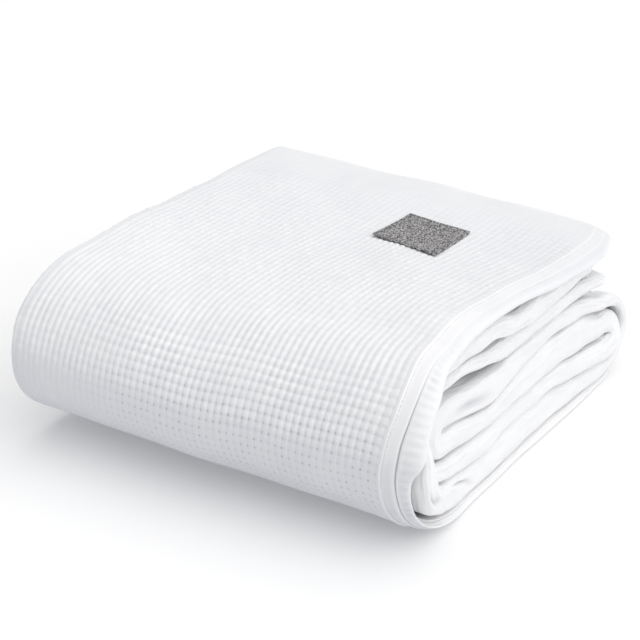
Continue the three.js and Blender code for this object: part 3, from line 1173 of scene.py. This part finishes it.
# Yarns and threads in metres: the pitch of the yarns, and the label's two fields of flecks, of which
# the second starts apart from the first so that they don't repeat each other
YARN_PITCH = {"cloth": 0.00085, "label": 0.0011}
FLECKS = {"first": (0.0009, 0.0012), "second": (0.0007, 0.0017), "apart": (0.31, 0.57, 0.0)}
THREAD_COLOUR = {"hem": (0.84, 0.84, 0.85), "label": (0.07, 0.07, 0.074)}
THREAD_SHADE = 0.82


def cloth_material(settings):
    """White cotton: fine crossed yarns, lint and mottle, with painted shade and highlight in its colour.
    """
    nodes = Nodes("white_waffle_cotton", {
        "Roughness": 0.92, "Specular IOR Level": 0.2, "Sheen Weight": 0.15, "Sheen Roughness": 0.6,
    })
    weave = nodes.attribute("weave_place", "Vector")
    width, length = CELL * MM, ROW_CELL * MM
    column = nodes.math("SUBTRACT", 1.0, nodes.bands(weave, "X", width))
    row = nodes.math("SUBTRACT", 1.0, nodes.bands(weave, "Y", length))
    lines = nodes.plus(
        nodes.times(nodes.math("POWER", column, NARROWNESS["columns"]), nodes.attribute("columns")),
        nodes.times(nodes.math("POWER", row, NARROWNESS["rows"]), nodes.attribute("rows")),
    )
    # Painted shade in the pits where the columns and rows cross, deeper in some cells than in others at
    # random
    crossing = nodes.math("POWER", nodes.times(column, row), NARROWNESS["pits"])
    corner = nodes.vector("ADD", weave, (width / 2, length / 2, 0.0))
    open_pit = nodes.times(nodes.chance(corner, width, length), OPEN_PIT["chance"])
    open_pit = nodes.plus(open_pit, OPEN_PIT["least"])
    pits = nodes.times(nodes.times(crossing, nodes.attribute("pits")), open_pit)

    mottle = nodes.math("SUBTRACT", nodes.noise(weave, scale=35.0, detail=2.0), 0.5)
    tint = nodes.times(nodes.chance(weave, width, length), SHADES["tint"])
    shade = nodes.plus(
        nodes.times(mottle, SHADES["mottle"]), nodes.times(tint, nodes.attribute("columns"))
    )
    # Painted shade along the grooves of the columns and rows
    shade = nodes.plus(nodes.times(lines, SHADES["lines"]), shade)
    # Painted shade over the far top, at the foot, on the hem and on the lip
    shade = nodes.plus(shade, nodes.attribute("painted_shade"))
    # Painted shade in the pits and in the creases
    dark = nodes.plus(nodes.times(pits, SHADES["pits"]), nodes.attribute("crease"))
    # Lighter hem band, and a painted highlight on the open cells round the front
    ground = nodes.blend(
        nodes.attribute("band"), opaque(settings.colour), opaque(settings.hem_and_highlight_colour)
    )
    colour = nodes.blend(shade, ground, opaque(settings.mottle_and_shade_colour))
    colour = nodes.blend(dark, colour, opaque(settings.crease_and_pit_shade_colour))

    cells = nodes.times(lines, nodes.attribute("plain"))
    drawn = nodes.vector("MULTIPLY", weave, STREAKS_DRAWN)
    streaks = nodes.times(nodes.noise(drawn, scale=260.0, detail=1.0), nodes.attribute("streaks"))
    warp, weft = (nodes.bands(weave, axis, YARN_PITCH["cloth"]) for axis in "XY")
    yarn = nodes.times(nodes.plus(warp, weft), 0.5)
    grooves = nodes.bump(cells, strength=0.5, distance=0.001)
    grooves.node.invert = True
    wrinkles = nodes.bump(streaks, strength=0.7, distance=0.0028, Normal=grooves)
    fine = nodes.bump(yarn, strength=0.35, distance=0.00012, Normal=wrinkles)
    lint = nodes.noise(weave, scale=900.0, detail=3.0)
    fuzz = nodes.bump(lint, strength=0.3, distance=0.0002, Normal=fine)
    return nodes.finish(colour, fuzz)


def thread_material(name, colour):
    """Sewing thread with a fine twist."""
    nodes = Nodes(name, {"Roughness": 0.7})
    place = nodes.add("ShaderNodeTexCoord", {}).outputs["Object"]
    twist = nodes.noise(place, scale=1500.0, detail=2.0)
    dark = tuple(THREAD_SHADE * value for value in colour)
    shade = nodes.blend(twist, opaque(dark), opaque(colour))
    return nodes.finish(shade, nodes.bump(twist, strength=0.4, distance=0.0002))


def label_material(settings):
    """Dark mixed yarn: short light flecks along crossed threads."""
    nodes = Nodes("grey_mixed_yarn", {
        "Roughness": 0.95, "Specular IOR Level": 0.15, "Sheen Weight": 0.1,
    })
    weave = nodes.attribute("weave_place", "Vector")
    first = nodes.chance(weave, *FLECKS["first"])
    second = nodes.chance(nodes.vector("ADD", weave, FLECKS["apart"]), *FLECKS["second"])
    fleck = nodes.times(nodes.plus(first, second), 0.5)
    share = {"Value": fleck, "From Min": 0.25, "From Max": 0.75}
    light = nodes.add("ShaderNodeMapRange", share, clamp=True).outputs[0]
    colour = nodes.blend(light, opaque(settings.colour), opaque(settings.fleck_colour))
    warp, weft = (nodes.bands(weave, axis, YARN_PITCH["label"]) for axis in "XY")
    yarn = nodes.plus(nodes.plus(warp, weft), fleck)
    return nodes.finish(colour, nodes.bump(yarn, strength=0.6, distance=0.0003))


def dress(piece, material, slot, *nodes):
    """Gives a finished piece its material and its body, and hides the parts that it stands for; the slot
    is not used.
    """
    piece.data.materials.append(material)
    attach(piece, "root")
    if nodes:
        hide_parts(*nodes)


# The cloth is laid in two lengths, which meet under the bundle
SEAM = float(mix(STARTS[2], STARTS[3], 0.35))

# Where the mesh is fine: over the face's weave, over the right pleat, down the shown front, where the
# pleat fans out at the foot, on the back of the loop, and on the last pleat before the turn inside
WEAVE_END = ACROSS[1] + 4 * CELL
PLEAT_FROM, PLEAT_TO = ACROSS[2] - 2 * CELL, ACROSS[3] + 4 * CELL
SHOWN_TO = STARTS[1] + 205
FAN_FROM, FAN_TO = STARTS[1] + 125, STARTS[2] + 40
LOOP_FROM, LOOP_TO = STARTS[3] - 40, STARTS[4] + 30
INSIDE_FROM, INSIDE_TO = STARTS[5] - 100, STARTS[5]

# A patch of fine mesh: its side of the cloth and its borders, where its columns start to be cut, how
# often its rows and columns are cut, and how much of the weave's relief it carries
PATCH = (
    "side", "from_u", "fine_u", "to_u", "from_v", "to_v", "row_cuts", "column_cuts", "relief",
)


class COVERLET_OT_lay_wrap(bpy.types.Operator):
    """Lay the length of cloth that shows on the top and round the front"""

    bl_idname = "coverlet.lay_wrap"
    bl_label = "Lay the top and front"

    def execute(self, context):
        settings = context.scene.coverlet_cloth
        start = WEAVE_START - ROW_CELL
        rows = np.concatenate([EDGE_LINES, np.arange(start, SEAM - CELL, 2 * ROW_CELL), [SEAM, SEAM]])
        thickness = edge_thickness(rows)
        thickness[-1] = 0
        patches = table(
            PATCH,
            (1, -LIP_SPAN, WEAVE_START, WEAVE_END, start, SHOWN_TO, 7, 3, 1.0),
            (-1, -LIP_SPAN, -LIP_SPAN, HEM_BAND, start, SHOWN_TO, 7, 0, 0.0),
            (-1, PLEAT_FROM, PLEAT_FROM, PLEAT_TO, start, SEAM - 2 * CELL, 2, 2, 0.0),
            (-1, ACROSS[2], ACROSS[2], ACROSS[3], FAN_FROM, FAN_TO, 1, 2, 0.0),
        )
        piece = lay_cloth("coverlet_wrap", rows, thickness, patches, len(rows) - 2, settings)
        dress(piece, cloth_material(settings), "waffle_cloth", "coverlet_cloth")
        return {"FINISHED"}


class COVERLET_OT_lay_core(bpy.types.Operator):
    """Lay the length of cloth that loops up at the back and lies folded inside"""

    bl_idname = "coverlet.lay_core"
    bl_label = "Lay the back and inside"

    def execute(self, context):
        settings = context.scene.coverlet_cloth
        inner = CLOTH_LENGTH - np.array(EDGE_LINES[::-1])
        rows = np.concatenate([[SEAM], cloth_rows(SEAM, inner[0] - CELL), inner])
        thickness = edge_thickness(CLOTH_LENGTH - rows)
        thickness[0] = 0
        last = inner[0] - 2 * CELL
        patches = table(
            PATCH,
            (1, WEAVE_START, WEAVE_START, WEAVE_END, LOOP_FROM, LOOP_TO, 5, 3, 1.0),
            (-1, PLEAT_FROM, PLEAT_FROM, PLEAT_TO, SEAM + 2 * CELL, last, 2, 2, 0.0),
            (-1, ACROSS[2], ACROSS[2], ACROSS[3] + CELL, INSIDE_FROM, INSIDE_TO, 1, 1, 0.0),
        )
        piece = lay_cloth("coverlet_core", rows, thickness, patches, 1, settings)
        dress(piece, bpy.data.materials["white_waffle_cotton"], "waffle_cloth", "coverlet_cloth")
        return {"FINISHED"}


def stitch_row(bm, starts, middles, ends, length, width):
    """A row of stitches, each a small thread that runs from a start to an end."""
    for start, middle, end in zip(starts, middles, ends):
        start, middle, end = Vector(start), Vector(middle), Vector(end)
        along = (end - start).normalized()
        up = middle - (start + end) / 2
        up = up.normalized() if up.length > 1e-6 else Vector((0, 0, 1))
        across = along.cross(up).normalized()
        up = across.cross(along)
        half = width / 2
        turn = Matrix((along * length / 2, across * half, up * half)).transposed()
        bmesh.ops.create_uvsphere(
            bm, u_segments=6, v_segments=5, radius=1,
            matrix=Matrix.Translation(middle) @ turn.to_4x4() @ Matrix.Rotation(math.pi / 2, 4, "Y"),
        )


# The hem's stitches: how far in from the ridge and how far past the foot they run, how far they stand
# up, and how far they sink in on the top, where the hem lies flat
HEM_SEAM = {"inset": 2.2, "past_foot": 60, "rise": 0.2, "sunk_on_top": 0.2}


class COVERLET_OT_sew_hem(bpy.types.Operator):
    """Sew the hem with a row of stitches beside its ridge"""

    bl_idname = "coverlet.sew_hem"
    bl_label = "Sew the hem"

    def execute(self, context):
        settings = context.scene.coverlet_stitch
        cloth = context.scene.coverlet_cloth
        inset = HEM_BAND - HEM_SEAM["inset"]
        along = np.arange(inset, STARTS[2] + HEM_SEAM["past_foot"], settings.pitch / MM)
        half = settings.length / MM / 2

        def at(v, sunk):
            u = np.full_like(v, inset)
            flat = HEM_SEAM["sunk_on_top"] * (1 - hem_share(v))
            drop = cloth.hem_step / MM * hem_share(v) + sunk + flat
            return to_metres(wander(fold_cloth(u, v, np.ones_like(v), drop), cloth.unevenness / MM))

        bm = bmesh.new()
        ends = at(along - half, 0), at(along, -HEM_SEAM["rise"]), at(along + half, 0)
        stitch_row(bm, *ends, settings.length, settings.width)
        piece = put_mesh("hem_stitching", bm)
        thread = thread_material("white_sewing_thread", THREAD_COLOUR["hem"])
        dress(piece, thread, "waffle_cloth")
        return {"FINISHED"}


# The label's corners on the top, and how far each lifts off the cloth
LABEL_CORNERS = table(
    ("corner", "x", "y", "lift"),
    ("left", 14.4, 231.8, 1.0),
    ("near", 79.4, 221.4, 0.3),
    ("far", 15.0, 292.0, 0.4),
    ("right", 74.6, 288.5, 0.4),
)
LABEL_CLEARANCE = 0.3

# Soft waves of the label, how closely the lift keeps to its corners, and its stitches
LABEL_WAVE = {"size": 0.3, "across": 29, "along": 28, "length": 30}
CORNER_CURL = 2.5
LABEL_SEAM = {"inset": 0.93, "rise": 0.05}


class COVERLET_OT_sew_label(bpy.types.Operator):
    """Lay the bare label on the top and sew it down"""

    bl_idname = "coverlet.sew_label"
    bl_label = "Sew the label"

    def execute(self, context):
        settings = context.scene.coverlet_label
        thread = context.scene.coverlet_stitch
        cloth = context.scene.coverlet_cloth
        size = np.array([settings.width, settings.depth]) / MM

        def between(column, a, b):
            left, near, far, right = (row[column] for row in LABEL_CORNERS)
            return mix(mix(left, near, a), mix(far, right, a), b)

        def on_top(a, b, lift):
            """Points of the label, a and b from -1 to 1 across and along it."""
            across, along = (a + 1) / 2, (b + 1) / 2
            x, y = between("x", across, along), between("y", across, along)
            run_a, run_b = a * LABEL_WAVE["across"], b * LABEL_WAVE["along"]
            wave = LABEL_WAVE["size"] * soft_noise(run_a, run_b, LABEL_WAVE["length"], 32)
            curl = between("lift", across, along) * np.abs(a * b) ** CORNER_CURL
            z = face_height("top", "outer", y, x) + LABEL_CLEARANCE + curl + wave + lift
            return to_metres(wander(np.column_stack([x, y, z]), cloth.unevenness / MM))

        bm = bmesh.new()
        bmesh.ops.create_grid(bm, x_segments=settings.cells, y_segments=settings.cells, size=1)
        grid = np.array([vert.co[:2] for vert in bm.verts])
        for vert, place in zip(bm.verts, on_top(grid[:, 0], grid[:, 1], 0.0)):
            vert.co = place
        bmesh.ops.recalc_face_normals(bm, faces=bm.faces)
        if sum(face.normal.z for face in bm.faces) < 0:
            bmesh.ops.reverse_faces(bm, faces=bm.faces)
        piece = put_mesh("label_cloth", bm)
        store(piece.data, "weave_place", np.column_stack([grid * size / 2 * MM, 0 * grid[:, 0]]))
        solid = piece.modifiers.new("thickness", "SOLIDIFY")
        solid.thickness = settings.thickness
        solid.offset = 1
        dress(piece, label_material(settings), "label_cloth", "label_patch")

        bm = bmesh.new()
        top = settings.thickness / MM
        inset = LABEL_SEAM["inset"]
        for axis in (0, 1):
            half = thread.length / MM / size[axis]
            steps = np.arange(-inset, inset, 2 * thread.pitch / MM / size[axis])
            for edge in (-inset, inset):
                line = np.full_like(steps, edge)
                ends = []
                for shift, lift in ((-half, top), (0, top + LABEL_SEAM["rise"]), (half, top)):
                    pair = (steps + shift, line) if axis == 0 else (line, steps + shift)
                    ends.append(on_top(*pair, lift))
                stitch_row(bm, *ends, thread.length, thread.width / 2)
        stitches = put_mesh("label_stitching", bm)
        grey = thread_material("grey_sewing_thread", THREAD_COLOUR["label"])
        dress(stitches, grey, "label_cloth")
        return {"FINISHED"}


def softbox(name, strength, spread, turn, colour=(1.0, 1.0, 1.0)):
    """A soft far lamp, its spread and its turn in degrees."""
    lamp = bpy.data.lights.new(name, "SUN")
    lamp.energy = strength
    lamp.angle = math.radians(spread)
    lamp.color = colour
    put(name, lamp).rotation_euler = [math.radians(angle) for angle in turn]


class COVERLET_OT_set_stage(bpy.types.Operator):
    """Set the floor, the soft lights and the camera"""

    bl_idname = "coverlet.set_stage"
    bl_label = "Set the stage"

    def execute(self, context):
        settings = context.scene.coverlet_stage
        scene = context.scene
        scene.view_settings.view_transform = "Standard"

        bm = bmesh.new()
        bmesh.ops.create_grid(bm, x_segments=1, y_segments=1, size=8)
        floor = put_mesh("floor", bm)
        paper = Nodes("pale_floor", {
            "Base Color": opaque(settings.floor_colour), "Roughness": 0.9, "Specular IOR Level": 0.1,
            "Emission Color": (1.0, 1.0, 1.0, 1.0), "Emission Strength": settings.floor_glow,
        })
        floor.data.materials.append(paper.material)

        world = bpy.data.worlds.new("studio")
        world.use_nodes = True
        sky = world.node_tree.nodes["Background"]
        sky.inputs["Color"].default_value = (0.93, 0.955, 1.0, 1.0)
        sky.inputs["Strength"].default_value = settings.sky
        scene.world = world
        softbox("high_softbox", settings.key, 90, (-2, 18, 0), (1.0, 0.985, 0.965))
        softbox("side_softbox", settings.side, 50, (0, 62, 0))

        photo = bpy.data.cameras.new("photo_camera")
        photo.lens = settings.lens
        photo.sensor_width = 36
        camera = put("photo_camera", photo)
        camera.location = settings.camera_place
        camera.rotation_euler = (math.pi / 2 - settings.camera_tilt, 0, settings.camera_turn)
        scene.camera = camera
        return {"FINISHED"}


OPERATORS = (
    COVERLET_OT_lay_wrap,
    COVERLET_OT_lay_core,
    COVERLET_OT_sew_hem,
    COVERLET_OT_sew_label,
    COVERLET_OT_set_stage,
)


class COVERLET_PT_panel(bpy.types.Panel):
    """Lists the steps and sizes of the coverlet"""

    bl_idname = "COVERLET_PT_panel"
    bl_label = "Folded Coverlet"
    bl_space_type = "VIEW_3D"
    bl_region_type = "UI"
    bl_category = "Coverlet"

    def draw(self, context):
        for operator in OPERATORS:
            self.layout.operator(operator.bl_idname)
        for group in SETTINGS:
            settings = getattr(context.scene, group)
            for name in settings.bl_rna.properties.keys():
                if name not in ("rna_type", "name"):
                    self.layout.prop(settings, name)


SETTINGS = {
    "coverlet_cloth": ClothSettings,
    "coverlet_stitch": StitchSettings,
    "coverlet_label": LabelSettings,
    "coverlet_stage": StageSettings,
}


def register():
    for name, group in SETTINGS.items():
        bpy.utils.register_class(group)
        setattr(bpy.types.Scene, name, PointerProperty(type=group))
    for operator in OPERATORS:
        bpy.utils.register_class(operator)
    bpy.utils.register_class(COVERLET_PT_panel)


def unregister():
    bpy.utils.unregister_class(COVERLET_PT_panel)
    for operator in reversed(OPERATORS):
        bpy.utils.unregister_class(operator)
    for name, group in SETTINGS.items():
        delattr(bpy.types.Scene, name)
        bpy.utils.unregister_class(group)


def main():
    register()
    bpy.ops.coverlet.lay_wrap()
    bpy.ops.coverlet.lay_core()
    bpy.ops.coverlet.sew_hem()
    bpy.ops.coverlet.sew_label()
    bpy.ops.coverlet.set_stage()
    bpy.context.view_layer.update()


if __name__ == "__main__":
    main()
